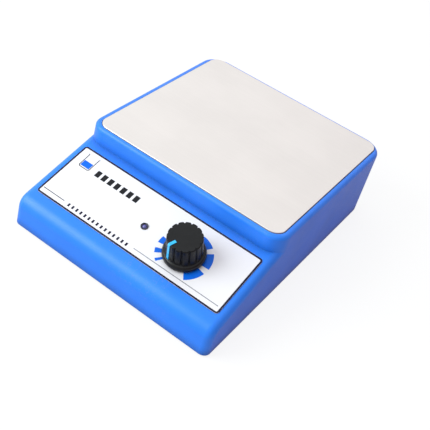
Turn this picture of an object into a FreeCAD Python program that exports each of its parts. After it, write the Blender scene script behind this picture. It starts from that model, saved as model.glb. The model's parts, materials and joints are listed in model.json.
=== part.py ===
import FreeCAD, Part
import math
import os
import re
import Sketcher

Vector = FreeCAD.Vector
Rotation = FreeCAD.Rotation

# Bench magnetic stirrer. X is to the right, Y to the back and Z up, with the origin on the bench
# under the middle of the case. Every length is in millimetres and every angle in degrees.

driving_sizes = {
    # case
    "case_width": 130.0,
    "case_depth": 180.0,
    "overall_height": 45.0,
    "foot_gap": 1.0,
    "wall": 2.5,
    "draft": 0.6,
    "corner_foot": 1.6,
    "corner_top": 4.2,
    "lip_edge": 8.0,
    "rear_corner": 13.0,
    "front_height": 17.1,
    "panel_tilt": 16.65,
    "panel_run": 52.4,
    "platform_corner": 10.0,
    "rim_edge": 2.4,
    "rim_front": 3.0,
    "rim_rear": 3.3,
    "rim_side": 4.1,
    "roof": 2.0,
    # work plate
    "plate_thick": 1.2,
    "plate_proud": 0.5,
    "plate_corner": 7.0,
    "plate_gap": 0.4,
    "plate_edge": 0.3,
    "adhesive_thick": 0.2,
    "adhesive_inset": 3.0,
    # bottom cover, its screws and the feet
    "cover_thick": 3.0,
    "cover_gap": 0.2,
    "boss_radius": 4.0,
    "boss_inset_side": 9.5,
    "boss_inset_front": 11.0,
    "boss_inset_rear": 13.5,
    "screw_radius": 1.45,
    "screw_length": 9.0,
    "screw_head": 2.75,
    "screw_head_thick": 1.6,
    "screw_sink": 1.8,
    "screw_gap": 0.05,
    "head_gap": 0.3,
    "foot_radius": 6.0,
    "foot_thick": 2.2,
    "foot_seat_gap": 0.1,
    "foot_inset_side": 16.0,
    "foot_inset_end": 26.0,
    "vent_length": 34.0,
    "vent_width": 2.5,
    "vent_pitch": 6.0,
    # label and indicator
    "label_side": 5.0,
    "label_front": 10.0,
    "label_rear": 4.69,
    "label_thick": 0.3,
    "label_corner": 1.8,
    "led_radius": 1.5,
    "led_up": 17.94,
    "led_proud": -0.9,
    "led_below": 5.0,
    "led_flange": 2.0,
    "led_gap": 0.1,
    "bezel_radius": 2.1,
    "bezel_thick": 0.5,
    "lead_radius": 0.25,
    "lead_spacing": 2.54,
    "lead_length": 4.0,
    # knob, measured up from the label
    "knob_right": 26.45,
    "knob_up": 17.4,
    "knob_lift": 0.6,
    "knob_height": 15.5,
    "knob_top": 9.3,
    "knob_foot": 9.9,
    "knob_flange": 11.6,
    "flange_thick": 1.9,
    "flange_rise": 3.4,
    "knob_edge": 0.5,
    "flute_radius": 1.5,
    "flute_depth": 0.75,
    "pointer_width": 1.6,
    "pointer_inner": 5.4,
    "pointer_deep": 0.8,
    "pointer_proud": 0.3,
    "pointer_angle": -111.0,
    "knob_hollow": 7.4,
    "knob_hollow_deep": 6.0,
    # speed potentiometer
    "pot_radius": 8.0,
    "pot_thick": 8.5,
    "pot_shaft_radius": 3.0,
    "pot_shaft_end": 12.5,
    "pot_shaft_seat": 4.0,
    "shaft_gap": 0.05,
    "bushing_radius": 3.6,
    "bushing_height": 5.0,
    "bushing_gap": 0.15,
    "washer_radius": 6.0,
    "washer_thick": 0.5,
    "nut_flats": 10.0,
    "nut_thick": 2.2,
    "terminal_length": 4.0,
    "terminal_width": 1.2,
    "terminal_thick": 0.5,
    "terminal_pitch": 5.0,
    # circuit board
    "board_width": 60.0,
    "board_depth": 46.0,
    "board_thick": 1.6,
    "board_left": -53.0,
    "board_front": 22.0,
    "board_lift": 3.0,
    "board_post": 3.0,
    "board_hole_inset": 4.0,
    "board_screw_head": 2.4,
    "chip_size": 8.0,
    "chip_thick": 1.6,
    "regulator_width": 10.0,
    "regulator_depth": 4.5,
    "regulator_height": 9.0,
    "capacitor_radius": 4.0,
    "capacitor_height": 10.0,
    "header_width": 6.0,
    "header_depth": 5.0,
    "header_height": 5.0,
    "right_header_in": 6.0,
    "pot_header_back": 24.0,
    "led_header_in": 20.0,
    "led_header_back": 6.0,
    "motor_header_in": 18.0,
    "motor_header_front": 5.0,
    "jack_header_front": 12.0,
    # motor
    "motor_radius": 16.0,
    "motor_length": 19.0,
    "motor_wall": 1.0,
    "cap_thick": 2.0,
    "magnet_thick": 3.0,
    "magnet_split": 6.0,
    "air_gap": 0.5,
    "core_length": 9.0,
    "axle_radius": 1.5,
    "axle_gap": 0.05,
    "press_gap": 0.02,
    "bearing_radius": 4.0,
    "bearing_length": 4.0,
    "commutator_radius": 3.5,
    "commutator_length": 3.0,
    "brush_size": 2.0,
    "brush_gap": 0.3,
    "motor_tab": 2.5,
    "bracket_width": 82.0,
    "bracket_depth": 34.0,
    "bracket_thick": 1.5,
    "bracket_hole_inset": 5.0,
    "bracket_corner": 3.0,
    "carrier_radius": 25.0,
    "carrier_thick": 4.5,
    "carrier_gap": 2.0,
    "magnet_radius": 6.0,
    "magnet_deep": 3.5,
    "magnet_reach": 15.0,
    "motor_screw_reach": 10.0,
    "motor_screw_radius": 1.2,
    "motor_screw_head": 2.2,
    "motor_screw_head_thick": 1.4,
    # power inlet
    "jack_right": 40.0,
    "jack_up": 15.0,
    "jack_flange": 6.5,
    "jack_flange_thick": 1.0,
    "jack_radius": 5.5,
    "jack_length": 14.0,
    "jack_bore": 2.8,
    "jack_bore_deep": 10.0,
    "jack_pin": 1.0,
    "jack_gap": 0.1,
    "jack_nut_flats": 14.0,
    "jack_nut_thick": 2.2,
    # internal wires
    "wire_radius": 0.6,
    "wire_pitch": 2.0,
    "wire_rise": 6.0,
}

flute_count = 14
vent_count = 7
small = 1e-3

# Places and sizes that follow from the driving ones.
derived = {
    "front_y": "-case_depth / 2",
    "rear_y": "case_depth / 2",
    "case_base": "foot_gap",
    "rim_top": "overall_height - plate_proud",
    "lip_z": "case_base + front_height",
    "platform_front": "front_y + panel_run",
    "recess_floor": "overall_height - plate_thick - adhesive_thick",
    "roof_under": "recess_floor - roof",
    "cover_top": "case_base + cover_thick",
    "plate_width": "case_width - 2 * rim_side",
    "plate_front": "platform_front + rim_front",
    "plate_back": "rear_y - rim_rear",
    "motor_y": "(plate_front + plate_back) / 2",
    "label_half": "case_width / 2 - label_side",
    "label_depth": "panel_run / cos(panel_tilt) - label_front - label_rear",
    "led_slope": "label_front + led_up",
    "knob_slope": "label_front + knob_up",
    "terminal_tip": "knob_right - sqrt(pot_radius ^ 2 - (terminal_pitch + terminal_width / 2) ^ 2)"
                    " - terminal_length",
    "terminal_under": "-wall - pot_thick + terminal_thick",
    "boss_x": "case_width / 2 - boss_inset_side",
    "boss_front_y": "front_y + boss_inset_front",
    "boss_rear_y": "rear_y - boss_inset_rear",
    "foot_x": "case_width / 2 - foot_inset_side",
    "foot_front_y": "front_y + foot_inset_end",
    "foot_rear_y": "rear_y - foot_inset_end",
    "board_z": "cover_top + board_lift",
    "board_top": "board_z + board_thick",
    "board_y": "front_y + board_front",
    "header_top": "board_top + header_height",
    "carrier_top": "roof_under - carrier_gap",
    "carrier_under": "carrier_top - carrier_thick",
    "bracket_top": "carrier_under - 2 * motor_screw_head_thick",
    "motor_top": "bracket_top - bracket_thick",
    "motor_under": "motor_top - motor_length",
    "bracket_hole_x": "bracket_width / 2 - bracket_hole_inset",
    "bracket_hole_y": "bracket_depth / 2 - bracket_hole_inset",
    "core_radius": "motor_radius - motor_wall - magnet_thick - air_gap",
    "core_under": "motor_under + cap_thick + commutator_length + air_gap",
    "jack_face_y": "rear_y - jack_draft",
    "jack_draft": "(jack_up - case_base) * tan(draft)",
    "jack_z": "jack_up",
}

doc = FreeCAD.newDocument("MagneticStirrer")
sheet = doc.addObject("Spreadsheet::Sheet", "dims")
for row, (name, size) in enumerate(driving_sizes.items(), start=1):
    sheet.set(f"A{row}", name)
    sheet.set(f"B{row}", str(size))
    sheet.setAlias(f"B{row}", name)
doc.recompute()

sub_parts = []


def expand(text):
    """Put the sheet's cells, and the derived values, in place of their names."""
    def swap(match):
        word = match.group()
        if word in derived:
            return "(" + expand(derived[word]) + ")"
        return "dims." + word if word in driving_sizes else word
    return re.sub(r"[A-Za-z_]\w*", swap, str(text))


def value(text):
    return float(sheet.evalExpression(expand(text)))


def bind(thing, **sizes):
    for name, text in sizes.items():
        thing.setExpression(name, expand(text))
    return thing


def place(thing, at, axis=(0, 0, 1), angle="0"):
    """Bind the thing's place and its turn about an axis through its own origin."""
    thing.Placement = FreeCAD.Placement(Vector(), Rotation(Vector(*axis), 1))
    thing.setExpression("Placement.Rotation.Angle", expand(angle))
    for letter, text in zip("xyz", at):
        thing.setExpression("Placement.Base." + letter, expand(text))
    return thing


def on_panel(right, slope, above):
    """A point of the sloped panel: right of the middle, up the slope and out along its normal."""
    return (right,
            f"front_y + ({slope}) * cos(panel_tilt) - ({above}) * sin(panel_tilt)",
            f"lip_z + ({slope}) * sin(panel_tilt) + ({above}) * cos(panel_tilt)")


def place_on_panel(thing, right, slope, above):
    return place(thing, on_panel(right, slope, above), (1, 0, 0), "panel_tilt")


def box(width, depth, height, at):
    thing = bind(doc.addObject("Part::Box", "box"), Length=width, Width=depth, Height=height)
    return place(thing, at)


def cylinder(radius, height, at):
    return place(bind(doc.addObject("Part::Cylinder", "cylinder"), Radius=radius, Height=height), at)


def tube(outer, inner, height, at):
    margin = "wall"
    hole_at = (at[0], at[1], f"{at[2]} - {margin}")
    return cut(cylinder(outer, height, at), cylinder(inner, f"{height} + 2 * {margin}", hole_at))


def panel_cylinder(radius, height, right, slope, above):
    thing = bind(doc.addObject("Part::Cylinder", "cylinder"), Radius=radius, Height=height)
    return place_on_panel(thing, right, slope, above)


def fuse(*things):
    thing = doc.addObject("Part::MultiFuse", "fuse")
    thing.Shapes = list(things)
    thing.Refine = True
    return thing


def cut(base, *tools):
    thing = doc.addObject("Part::Cut", "cut")
    thing.Base = base
    thing.Tool = tools[0] if len(tools) == 1 else fuse(*tools)
    return thing


def common(first, second):
    thing = doc.addObject("Part::Common", "common")
    thing.Base = first
    thing.Tool = second
    return thing


def separate(*things):
    """Several solids that stay apart in one sub-part."""
    thing = doc.addObject("Part::Compound", "group")
    thing.Links = list(things)
    return thing


def round_edges(base, radius_of):
    """Fillet base; radius_of(edge) gives an edge's radius, a pair for its two ends, or None."""
    doc.recompute()
    chosen = []
    for number, edge in enumerate(base.Shape.Edges, start=1):
        radius = radius_of(edge)
        if radius is not None:
            first, last = radius if isinstance(radius, tuple) else (radius, radius)
            chosen.append((number, value(first), value(last)))
    thing = doc.addObject("Part::Fillet", "fillet")
    thing.Base = base
    thing.Edges = chosen
    return thing


def finish(thing, label):
    thing.Label = label
    sub_parts.append(thing)
    return thing


def outline(half_width, front, back, front_radius, back_radius, owner=doc):
    """Sketch of a rectangle, symmetrical about Y, with one radius at its front and one at its back."""
    sketch = owner.newObject("Sketcher::SketchObject", "outline") if owner is not doc \
        else doc.addObject("Sketcher::SketchObject", "outline")
    right = value(half_width)
    low, high = value(front), value(back)
    near, far = value(front_radius), value(back_radius)
    up = Vector(0, 0, 1)
    quarter = math.pi / 2

    def line(x0, y0, x1, y1):
        return sketch.addGeometry(Part.LineSegment(Vector(x0, y0), Vector(x1, y1)))

    def arc(x, y, radius, start):
        circle = Part.Circle(Vector(x, y), up, radius)
        return sketch.addGeometry(Part.ArcOfCircle(circle, start, start + quarter))

    loop = [line(-right + near, low, right - near, low),
            arc(right - near, low + near, near, -quarter),
            line(right, low + near, right, high - far),
            arc(right - far, high - far, far, 0),
            line(right - far, high, -right + far, high),
            arc(-right + far, high - far, far, quarter),
            line(-right, high - far, -right, low + near),
            arc(-right + near, low + near, near, 2 * quarter)]
    rule = Sketcher.Constraint
    for side, following in zip(loop, loop[1:] + loop[:1]):
        sketch.addConstraint(rule("Tangent", side, 2, following, 1))
    for side, kind in ((0, "Horizontal"), (4, "Horizontal"), (2, "Vertical"), (6, "Vertical")):
        sketch.addConstraint(rule(kind, loop[side]))

    def measure(text, kind, *where):
        number = sketch.addConstraint(rule(kind, *where, value(text)))
        sketch.setExpression(f"Constraints[{number}]", expand(text))

    measure(front_radius, "Radius", loop[1])
    measure(back_radius, "Radius", loop[3])
    sketch.addConstraint(rule("Equal", loop[1], loop[7]))
    sketch.addConstraint(rule("Equal", loop[3], loop[5]))
    measure(half_width, "DistanceX", -1, 1, loop[2], 1)
    measure(f"-({half_width})", "DistanceX", -1, 1, loop[6], 1)
    measure(front, "DistanceY", -1, 1, loop[0], 1)
    measure(back, "DistanceY", -1, 1, loop[4], 1)
    return sketch


def prism(sketch, height, at, taper="0", on_slope=False):
    """The sketch raised by height, leaning in by taper."""
    if on_slope:
        place_on_panel(sketch, *at)
    else:
        place(sketch, at)
    thing = doc.addObject("Part::Extrusion", "prism")
    thing.Base = sketch
    thing.DirMode = "Normal"
    thing.Solid = True
    return bind(thing, LengthFwd=height, TaperAngle=f"-({taper})")


def lathe(label, profile, place_it):
    """A body turned about its own Z from a closed profile of (radius, height) corners."""
    body = doc.addObject("PartDesign::Body", label + "_body")
    plane = next(item for item in body.Origin.OriginFeatures if item.Role == "XZ_Plane")
    sketch = body.newObject("Sketcher::SketchObject", label + "_profile")
    sketch.AttachmentSupport = (plane, [""])
    sketch.MapMode = "FlatFace"
    corners = [Vector(value(radius), value(height)) for radius, height in profile]
    sides = [sketch.addGeometry(Part.LineSegment(start, end))
             for start, end in zip(corners, corners[1:] + corners[:1])]
    rule = Sketcher.Constraint
    for side, following in zip(sides, sides[1:] + sides[:1]):
        sketch.addConstraint(rule("Coincident", side, 2, following, 1))
    for side, (radius, height) in zip(sides, profile):
        for kind, text in (("DistanceX", radius), ("DistanceY", height)):
            number = sketch.addConstraint(rule(kind, -1, 1, side, 1, value(text)))
            sketch.setExpression(f"Constraints[{number}]", expand(text))
    turned = body.newObject("PartDesign::Revolution", label + "_turned")
    turned.Profile = sketch
    turned.ReferenceAxis = (sketch, ["V_Axis"])
    turned.Angle = 360
    body.Tip = turned
    place_it(body)
    return body


def is_level(edge, height):
    return abs(edge.BoundBox.ZMin - height) < small and abs(edge.BoundBox.ZMax - height) < small


# Case -----------------------------------------------------------------------------------------------


def slope_side(above):
    """The space over the plane that lies that far above the panel."""
    thing = bind(doc.addObject("Part::Box", "over_panel"), Length="3 * case_width",
                 Width="3 * case_depth", Height="3 * overall_height")
    return place_on_panel(thing, "-1.5 * case_width", "-case_depth", above)


def base_block(inset, above, lip):
    """The lower part of the case: a leaning block under the sloped plane, with its front lip rounded."""
    foot = bind(doc.addObject("Part::Plane", "foot"), Length=f"case_width - 2 * {inset}",
                Width=f"case_depth - 2 * {inset}")
    place(foot, (f"{inset} - case_width / 2", f"front_y + {inset}", "case_base"))
    block = doc.addObject("Part::Extrusion", "block")
    block.Base = foot
    block.DirMode = "Normal"
    block.Solid = True
    bind(block, LengthFwd="3 * overall_height", TaperAngle="-draft")
    wedge = cut(block, slope_side(above))

    def lip_edge(edge):
        box = edge.BoundBox
        level = box.ZLength < small and box.YLength < small
        return lip if level and box.YMax < value("platform_front") and box.ZMin > value("cover_top") else None

    return round_edges(wedge, lip_edge)


def front_of(thing, y):
    limit = box("2 * case_width", "case_depth", "6 * overall_height",
                ("-case_width", f"{y} - case_depth", "-overall_height"))
    return common(thing, limit)


def platform_block(inset, height):
    sketch = outline(f"case_width / 2 - {inset}", f"platform_front + {inset}", f"rear_y - {inset}",
                     f"platform_corner - {inset}", f"rear_corner - {inset}")
    return prism(sketch, height, ("0", "0", "case_base"), "draft")


def outer_form():
    side = value("case_width / 2 - 2 * wall")
    near_front = value("front_y + wall")
    near_rear = value("rear_y - wall")

    def side_edge(edge):
        """The edges up each front corner, over the lip and along the slope, on both sides."""
        box = edge.BoundBox
        at_side = min(abs(box.XMin), abs(box.XMax)) > side
        if not at_side or box.ZLength < small or box.YMin > near_rear:
            return None
        if box.YMax < near_front and edge.Curve.TypeId == "Part::GeomLine":
            rising = edge.Vertexes[0].Z < edge.Vertexes[-1].Z
            return ("corner_foot", "corner_top") if rising else ("corner_top", "corner_foot")
        return "corner_top"

    base = round_edges(base_block("0", "0", "lip_edge"), side_edge)
    base = front_of(base, "platform_front + platform_corner + wall")
    platform = platform_block("0", "rim_top - case_base")
    top = value("rim_top")
    platform = round_edges(platform, lambda edge: "rim_edge" if is_level(edge, top) else None)
    return fuse(base, platform)


def boss_places():
    return [(side + "boss_x", y) for y in ("boss_front_y", "boss_rear_y") for side in ("-", "")]


def bracket_places():
    return [(side + "bracket_hole_x", f"motor_y {way} bracket_hole_y")
            for way in "-+" for side in ("-", "")]


def inner_form():
    """The room inside the case, less the columns that stand in it."""
    base = front_of(base_block("wall", "-wall", "lip_edge - wall"), "platform_front + platform_corner + wall")
    room = fuse(base, platform_block("wall", "roof_under - case_base"))
    columns = [cylinder("boss_radius", "overall_height", (x, y, "cover_top")) for x, y in boss_places()]
    columns += [cylinder("boss_radius", "overall_height", (x, y, "bracket_top"))
                for x, y in bracket_places()]
    return cut(room, *columns)


def make_upper_case():
    shell = cut(outer_form(), inner_form())
    recess = prism(outline("plate_width / 2 + plate_gap", "plate_front - plate_gap",
                           "plate_back + plate_gap", "plate_corner + plate_gap",
                           "plate_corner + plate_gap"),
                   "overall_height", ("0", "0", "recess_floor"))
    holes = [recess,
             panel_cylinder("led_radius + led_gap", "4 * wall", "0", "led_slope", "-2 * wall"),
             panel_cylinder("bushing_radius + bushing_gap", "4 * wall",
                            "knob_right", "knob_slope", "-2 * wall"),
             rear_cylinder("jack_radius + jack_gap", "4 * wall", "2 * wall"),
             rear_cylinder("jack_flange + jack_gap", "2 * wall + jack_flange_thick", "2 * wall")]
    holes += [cylinder("screw_radius + screw_gap", "screw_length", (x, y, "cover_top"))
              for x, y in boss_places()]
    holes += [cylinder("screw_radius + screw_gap", "screw_length", (x, y, "bracket_top"))
              for x, y in bracket_places()]
    finish(cut(shell, *holes), "upper_case")


def rear_cylinder(radius, length, behind):
    """A cylinder on the inlet's axis that starts that far behind the rear face and runs forwards."""
    thing = bind(doc.addObject("Part::Cylinder", "cylinder"), Radius=radius, Height=length)
    return place(thing, ("jack_right", f"jack_face_y + {behind}", "jack_z"), (1, 0, 0), "90")


def make_bottom_cover():
    sketch = outline("case_width / 2 - wall - cover_gap", "front_y + wall + cover_gap",
                     "rear_y - wall - cover_gap", "corner_foot", "rear_corner - wall - cover_gap")
    plate = prism(sketch, "cover_thick", ("0", "0", "case_base"), "draft")
    posts = [cylinder("board_post", "board_z - case_base - wall", (x, y, "case_base + wall"))
             for x, y in board_holes()]
    holes = [cylinder("screw_radius + head_gap", "3 * cover_thick", (x, y, "case_base - cover_thick"))
             for x, y in boss_places()]
    holes += [cylinder("screw_head + head_gap", "cover_thick + screw_sink", (x, y, "case_base - cover_thick"))
              for x, y in boss_places()]
    holes += [cylinder("foot_radius + foot_seat_gap", "cover_thick + foot_thick - foot_gap",
                       (x, y, "case_base - cover_thick"))
              for x, y, name in foot_places()]
    holes += [cylinder("motor_screw_radius + screw_gap", "cover_thick + board_lift",
                       (x, y, "case_base + wall"))
              for x, y in board_holes()]
    for number in range(vent_count):
        across = f"({number} - {vent_count - 1} / 2) * vent_pitch - vent_width / 2"
        holes.append(box("vent_width", "vent_length", "3 * cover_thick",
                         (across, "motor_y - vent_length / 2", "case_base - cover_thick")))
    finish(cut(fuse(plate, *posts), *holes), "bottom_cover")


def foot_places():
    return [(side + "foot_x", f"foot_{end}_y", f"foot_{end}_{hand}")
            for end in ("front", "rear") for side, hand in (("-", "left"), ("", "right"))]


def make_feet():
    for x, y, name in foot_places():
        rubber = cylinder("foot_radius", "foot_thick", (x, y, "0"))
        soft = round_edges(rubber, lambda edge: "foot_gap / 2" if is_level(edge, 0.0) else None)
        finish(soft, name)


def pan_screw(radius, length, head, head_thick, at, upward=True):
    """A plain screw whose head's bearing face is at the given place."""
    x, y, z = at
    if upward:
        return fuse(cylinder(radius, length, at), cylinder(head, head_thick, (x, y, f"{z} - {head_thick}")))
    return fuse(cylinder(radius, length, (x, y, f"{z} - {length}")), cylinder(head, head_thick, at))


def make_cover_screws():
    screws = [pan_screw("screw_radius", "cover_thick - screw_sink + screw_length - wall / 2",
                        "screw_head", "screw_head_thick", (x, y, "case_base + screw_sink"))
              for x, y in boss_places()]
    finish(separate(*screws), "cover_screws")


def make_top_plate():
    body = doc.addObject("PartDesign::Body", "top_plate_body")
    plane = next(item for item in body.Origin.OriginFeatures if item.Role == "XY_Plane")
    sketch = outline("plate_width / 2", "plate_front", "plate_back", "plate_corner", "plate_corner", body)
    sketch.AttachmentSupport = (plane, [""])
    sketch.MapMode = "FlatFace"
    pad = body.newObject("PartDesign::Pad", "plate_pad")
    pad.Profile = sketch
    bind(pad, Length="plate_thick")
    body.Tip = pad
    doc.recompute()
    top = value("plate_thick")
    edges = [f"Edge{number}" for number, edge in enumerate(pad.Shape.Edges, start=1) if is_level(edge, top)]
    softened = body.newObject("PartDesign::Fillet", "plate_softened")
    softened.Base = (pad, edges)
    bind(softened, Radius="plate_edge")
    body.Tip = softened
    finish(place(body, ("0", "0", "overall_height - plate_thick")), "top_plate")


def make_plate_adhesive():
    sheet_outline = outline("plate_width / 2 - adhesive_inset", "plate_front + adhesive_inset",
                            "plate_back - adhesive_inset", "plate_corner - adhesive_inset",
                            "plate_corner - adhesive_inset")
    finish(prism(sheet_outline, "adhesive_thick", ("0", "0", "recess_floor")), "plate_adhesive")


# Label, light and knob ------------------------------------------------------------------------------


def make_control_label():
    sheet_outline = outline("label_half", "0", "label_depth", "label_corner", "label_corner")
    film = prism(sheet_outline, "label_thick", ("0", "label_front", "0"), on_slope=True)
    led_hole = panel_cylinder("led_radius + led_gap", "2 * wall", "0", "led_slope", "-wall")
    pot_hole = panel_cylinder("bushing_radius + bushing_gap", "2 * wall", "knob_right", "knob_slope", "-wall")
    finish(cut(film, led_hole, pot_hole), "control_label")


def make_indicator():
    ring = cut(panel_cylinder("bezel_radius", "bezel_thick", "0", "led_slope", "label_thick"),
               panel_cylinder("led_radius + led_gap", "2 * wall", "0", "led_slope", "-wall"))
    finish(ring, "led_bezel")
    barrel = panel_cylinder("led_radius", "led_below + label_thick + led_proud", "0", "led_slope",
                            "-led_below")
    dome = bind(doc.addObject("Part::Sphere", "dome"), Radius="led_radius")
    place_on_panel(dome, "0", "led_slope", "label_thick + led_proud")
    flange = panel_cylinder("led_flange", "led_below - wall - led_gap", "0", "led_slope", "-led_below")
    finish(fuse(barrel, dome, flange), "led_lens")
    leads = [panel_cylinder("lead_radius", "lead_length", f"{side} lead_spacing / 2", "led_slope",
                            "-led_below - lead_length") for side in "-+"]
    finish(separate(*leads), "led_leads")


def at_knob(above):
    return "knob_right", "knob_slope", f"label_thick + {above}"


def knob_form(grow="0"):
    """The knob's turned form; grow adds that much to its fluted side and its top."""
    profile = [("0", "knob_lift"),
               ("knob_flange", "knob_lift"),
               ("knob_flange", "flange_thick"),
               ("(knob_flange + 2 * knob_foot) / 3", "flange_rise"),
               (f"knob_foot + {grow}", "flange_rise + knob_edge"),
               (f"knob_top + {grow}", f"knob_height + {grow} - knob_edge"),
               (f"knob_top - knob_edge + {grow}", f"knob_height + {grow}"),
               ("0", f"knob_height + {grow}")]
    return lathe("knob", profile, lambda body: place_on_panel(body, *at_knob("0")))


def around_knob(thing, turn):
    """Carry a thing made beside the origin to the knob's axis, turned about that axis."""
    turned = doc.addObject("Part::Compound", "turned")
    turned.Links = [thing]
    place(turned, ("0", "0", "0"), (0, 0, 1), turn)
    carried = doc.addObject("Part::Compound", "carried")
    carried.Links = [turned]
    return place_on_panel(carried, *at_knob("0"))


def flute(number):
    """A round groove that follows the knob's leaning side, counted on from the pointer."""
    lean = "atan((knob_foot - knob_top) / (knob_height - flange_rise))"
    groove = bind(doc.addObject("Part::Cylinder", "groove"), Radius="flute_radius", Height="2 * knob_height")
    place(groove, ("knob_foot + flute_radius - flute_depth", "0", "flange_rise + flute_radius"),
          (0, 1, 0), f"-({lean})")
    return around_knob(groove, f"pointer_angle + {number} * 360 / {flute_count + 1}")


def pointer_inlay(grow):
    """A narrow slice of the knob's skin: across the top's edge and down the side to the flange."""
    slab = box("knob_flange", "pointer_width", "knob_height",
               ("pointer_inner", "-pointer_width / 2", "flange_rise + knob_edge"))
    skin = cut(knob_form(grow), knob_form("-pointer_deep"))
    return common(skin, around_knob(slab, "pointer_angle"))


def make_knob():
    fluted = cut(knob_form(), *[flute(number) for number in range(1, flute_count + 1)])
    hollow = panel_cylinder("knob_hollow", "knob_hollow_deep", *at_knob("0"))
    bore = panel_cylinder("pot_shaft_radius + press_gap", "pot_shaft_end", *at_knob("0"))
    finish(cut(fluted, pointer_inlay("0"), hollow, bore), "speed_knob")
    finish(pointer_inlay("pointer_proud"), "knob_pointer")


def make_potentiometer():
    under = "-wall"
    body = panel_cylinder("pot_radius", "pot_thick", "knob_right", "knob_slope", "-wall - pot_thick")
    seat = panel_cylinder("pot_shaft_radius + shaft_gap", "pot_shaft_seat + wall",
                          "knob_right", "knob_slope", f"{under} - pot_shaft_seat")
    finish(cut(body, seat), "pot_body")
    sleeve = cut(panel_cylinder("bushing_radius", "wall + label_thick + bushing_height",
                                "knob_right", "knob_slope", under),
                 panel_cylinder("pot_shaft_radius + shaft_gap", "4 * wall + 2 * bushing_height",
                                "knob_right", "knob_slope", "-2 * wall"))
    finish(sleeve, "pot_bushing")
    finish(panel_cylinder("pot_shaft_radius", "pot_shaft_seat + wall + label_thick + pot_shaft_end - shaft_gap",
                          "knob_right", "knob_slope", f"{under} - pot_shaft_seat + shaft_gap"), "pot_shaft")
    washer = cut(panel_cylinder("washer_radius", "washer_thick", *at_knob("0")),
                 panel_cylinder("bushing_radius + screw_gap", "4 * wall", *at_knob("-wall")))
    finish(washer, "pot_washer")
    nut = hexagon("nut_flats", "nut_thick")
    place_on_panel(nut, *at_knob("washer_thick"))
    finish(cut(nut, panel_cylinder("bushing_radius + screw_gap", "4 * wall", *at_knob("-wall"))), "pot_nut")
    blades = []
    for step in (-1, 0, 1):
        blade = bind(doc.addObject("Part::Box", "blade"), Length="terminal_length", Width="terminal_width",
                     Height="terminal_thick")
        place_on_panel(blade, "terminal_tip", f"{terminal_slope(step)} - terminal_width / 2", "terminal_under")
        rounded_off = panel_cylinder("pot_radius", "pot_thick", "knob_right", "knob_slope", "-wall - pot_thick")
        blades.append(cut(blade, rounded_off))
    finish(separate(*blades), "pot_terminals")


def terminal_slope(step):
    return f"knob_slope + {step} * terminal_pitch"


def hexagon(flats, thick):
    thing = doc.addObject("Part::Prism", "hexagon")
    thing.Polygon = 6
    return bind(thing, Circumradius=f"({flats}) / 2 / cos(30)", Height=thick)


# Circuit board --------------------------------------------------------------------------------------


def board_holes():
    return [(x, y) for y in ("board_y + board_hole_inset", "board_y + board_depth - board_hole_inset")
            for x in ("board_left + board_hole_inset", "board_left + board_width - board_hole_inset")]


board_right = "board_left + board_width"
board_back = "board_y + board_depth"
header_spots = {
    "pot": (f"{board_right} - right_header_in", "board_y + pot_header_back"),
    "led": (f"{board_right} - led_header_in", "board_y + led_header_back"),
    "motor": (f"{board_right} - motor_header_in", f"{board_back} - motor_header_front"),
    "jack": (f"{board_right} - right_header_in", f"{board_back} - jack_header_front"),
}


def make_board():
    board = box("board_width", "board_depth", "board_thick", ("board_left", "board_y", "board_z"))
    holes = [cylinder("motor_screw_radius + screw_gap", "3 * board_thick", (x, y, "board_z - board_thick"))
             for x, y in board_holes()]
    finish(cut(board, *holes), "main_pcb")
    chip = box("chip_size", "chip_size", "chip_thick",
               ("board_left + board_width / 2 - chip_size", "board_y + board_depth / 2", "board_top"))
    finish(chip, "controller_chip")
    finish(box("regulator_width", "regulator_depth", "regulator_height",
               ("board_left + 2 * board_hole_inset", "board_y + board_depth / 2", "board_top")),
           "voltage_regulator")
    cans = [cylinder("capacitor_radius", "capacitor_height",
                     (f"board_left + board_width / 2 + ({step}) * 3 * capacitor_radius - capacitor_radius",
                      "board_y + board_depth - 2 * capacitor_radius", "board_top")) for step in (-1, 0)]
    finish(separate(*cans), "capacitors")
    headers = [box("header_width", "header_depth", "header_height",
                   (f"{x} - header_width / 2", f"{y} - header_depth / 2", "board_top"))
               for x, y in header_spots.values()]
    finish(separate(*headers), "wire_headers")
    screws = [pan_screw("motor_screw_radius", "board_thick + board_lift", "board_screw_head",
                        "motor_screw_head_thick", (x, y, "board_top"), upward=False)
              for x, y in board_holes()]
    finish(separate(*screws), "pcb_screws")


# Motor and magnets ----------------------------------------------------------------------------------


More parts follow.
